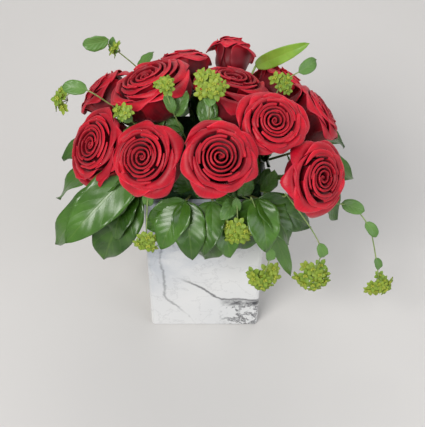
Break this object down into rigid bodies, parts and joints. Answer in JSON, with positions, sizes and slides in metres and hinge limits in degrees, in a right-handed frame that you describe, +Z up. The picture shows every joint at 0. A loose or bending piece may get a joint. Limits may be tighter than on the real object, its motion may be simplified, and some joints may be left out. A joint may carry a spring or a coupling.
{
  "type": "flower box arrangement",
  "caption": "Square marbled ceramic box vase with a foam block holding a dome of open roses, glossy leaves and trailing green sprigs.",
  "frame": {"origin": "centre of the vase's underside, on the surface it stands on", "axes": "+Z up along the vase, -Y towards the front of the arrangement, +X to its right"},
  "size_m": [0.3738, 0.2541, 0.3541],
  "materials": {
    "marbled_glaze": "white gloss glaze with soft grey marble veins",
    "wet_foam": "open-cell wet foam, dark green",
    "rose_petal": "velvety red petals",
    "rose_stem": "green stem and sepals",
    "salal_leaf": "waxy dark green leaf with paler veins",
    "bupleurum_leaf": "soft yellow-green leaf and flower head"
  },
  "bodies": {
    "box": {"vase": "marbled_glaze"},
    "insert": {"floral_foam": "wet_foam", "salal_front_left": "salal_leaf", "salal_left_corner": "salal_leaf", "salal_front_left_low": "salal_leaf", "salal_front_middle": "salal_leaf", "salal_right_corner": "salal_leaf", "salal_right_side": "salal_leaf", "salal_left_side": "salal_leaf", "salal_back_left": "salal_leaf", "salal_back_middle": "salal_leaf", "salal_back_right": "salal_leaf", "salal_right_back": "salal_leaf", "long_leaf": "salal_leaf", "bupleurum_top_left": "bupleurum_leaf", "bupleurum_left": "bupleurum_leaf", "bupleurum_between_left": "bupleurum_leaf", "bupleurum_middle_left": "bupleurum_leaf", "bupleurum_middle": "bupleurum_leaf", "bupleurum_between_right": "bupleurum_leaf", "bupleurum_front_left": "bupleurum_leaf", "bupleurum_front": "bupleurum_leaf", "bupleurum_front_right": "bupleurum_leaf", "bupleurum_right": "bupleurum_leaf"},
    "rose_01": {"rose_01_stem": "rose_stem", "rose_01_calyx": "rose_stem", "rose_01_bloom": "rose_petal"},
    "rose_02": {"rose_02_stem": "rose_stem", "rose_02_calyx": "rose_stem", "rose_02_bloom": "rose_petal"},
    "rose_03": {"rose_03_stem": "rose_stem", "rose_03_calyx": "rose_stem", "rose_03_bloom": "rose_petal"},
    "rose_04": {"rose_04_stem": "rose_stem", "rose_04_calyx": "rose_stem", "rose_04_bloom": "rose_petal"},
    "rose_05": {"rose_05_stem": "rose_stem", "rose_05_calyx": "rose_stem", "rose_05_bloom": "rose_petal"},
    "rose_06": {"rose_06_stem": "rose_stem", "rose_06_calyx": "rose_stem", "rose_06_bloom": "rose_petal"},
    "rose_07": {"rose_07_stem": "rose_stem", "rose_07_calyx": "rose_stem", "rose_07_bloom": "rose_petal"},
    "rose_08": {"rose_08_stem": "rose_stem", "rose_08_calyx": "rose_stem", "rose_08_bloom": "rose_petal"},
    "rose_09": {"rose_09_stem": "rose_stem", "rose_09_calyx": "rose_stem", "rose_09_bloom": "rose_petal"},
    "rose_10": {"rose_10_stem": "rose_stem", "rose_10_calyx": "rose_stem", "rose_10_bloom": "rose_petal"},
    "rose_11": {"rose_11_stem": "rose_stem", "rose_11_calyx": "rose_stem", "rose_11_bloom": "rose_petal"},
    "rose_12": {"rose_12_stem": "rose_stem", "rose_12_calyx": "rose_stem", "rose_12_bloom": "rose_petal"}
  },
  "joints": [
    {"name": "insert_lift", "type": "slide", "parent": "box", "child": "insert", "axis": [0, 0, 1], "range_m": [0, 0.24]},
    {"name": "rose_01_pull", "type": "slide", "parent": "insert", "child": "rose_01", "axis": [-0.8352, -0.1473, 0.5299], "range_m": [0, 0.06]},
    {"name": "rose_02_pull", "type": "slide", "parent": "insert", "child": "rose_02", "axis": [-0.439, -0.4875, 0.7547], "range_m": [0, 0.06]},
    {"name": "rose_03_pull", "type": "slide", "parent": "insert", "child": "rose_03", "axis": [0.0897, -0.5665, 0.8192], "range_m": [0, 0.06]},
    {"name": "rose_04_pull", "type": "slide", "parent": "insert", "child": "rose_04", "axis": [0.4895, -0.2388, 0.8387], "range_m": [0, 0.06]},
    {"name": "rose_05_pull", "type": "slide", "parent": "insert", "child": "rose_05", "axis": [0.765, -0.424, 0.4848], "range_m": [0, 0.06]},
    {"name": "rose_06_pull", "type": "slide", "parent": "insert", "child": "rose_06", "axis": [-0.4318, 0.1403, 0.891], "range_m": [0, 0.06]},
    {"name": "rose_07_pull", "type": "slide", "parent": "insert", "child": "rose_07", "axis": [0.2534, 0.2534, 0.9336], "range_m": [0, 0.06]},
    {"name": "rose_08_pull", "type": "slide", "parent": "insert", "child": "rose_08", "axis": [0.8046, 0.0846, 0.5878], "range_m": [0, 0.06]},
    {"name": "rose_09_pull", "type": "slide", "parent": "insert", "child": "rose_09", "axis": [0.6469, 0.5624, 0.515], "range_m": [0, 0.06]},
    {"name": "rose_10_pull", "type": "slide", "parent": "insert", "child": "rose_10", "axis": [-0.7637, 0.3891, 0.515], "range_m": [0, 0.06]},
    {"name": "rose_11_pull", "type": "slide", "parent": "insert", "child": "rose_11", "axis": [-0.2016, 0.703, 0.682], "range_m": [0, 0.06]},
    {"name": "rose_12_pull", "type": "slide", "parent": "insert", "child": "rose_12", "axis": [0.2052, 0.8229, 0.5299], "range_m": [0, 0.06]}
  ]
}
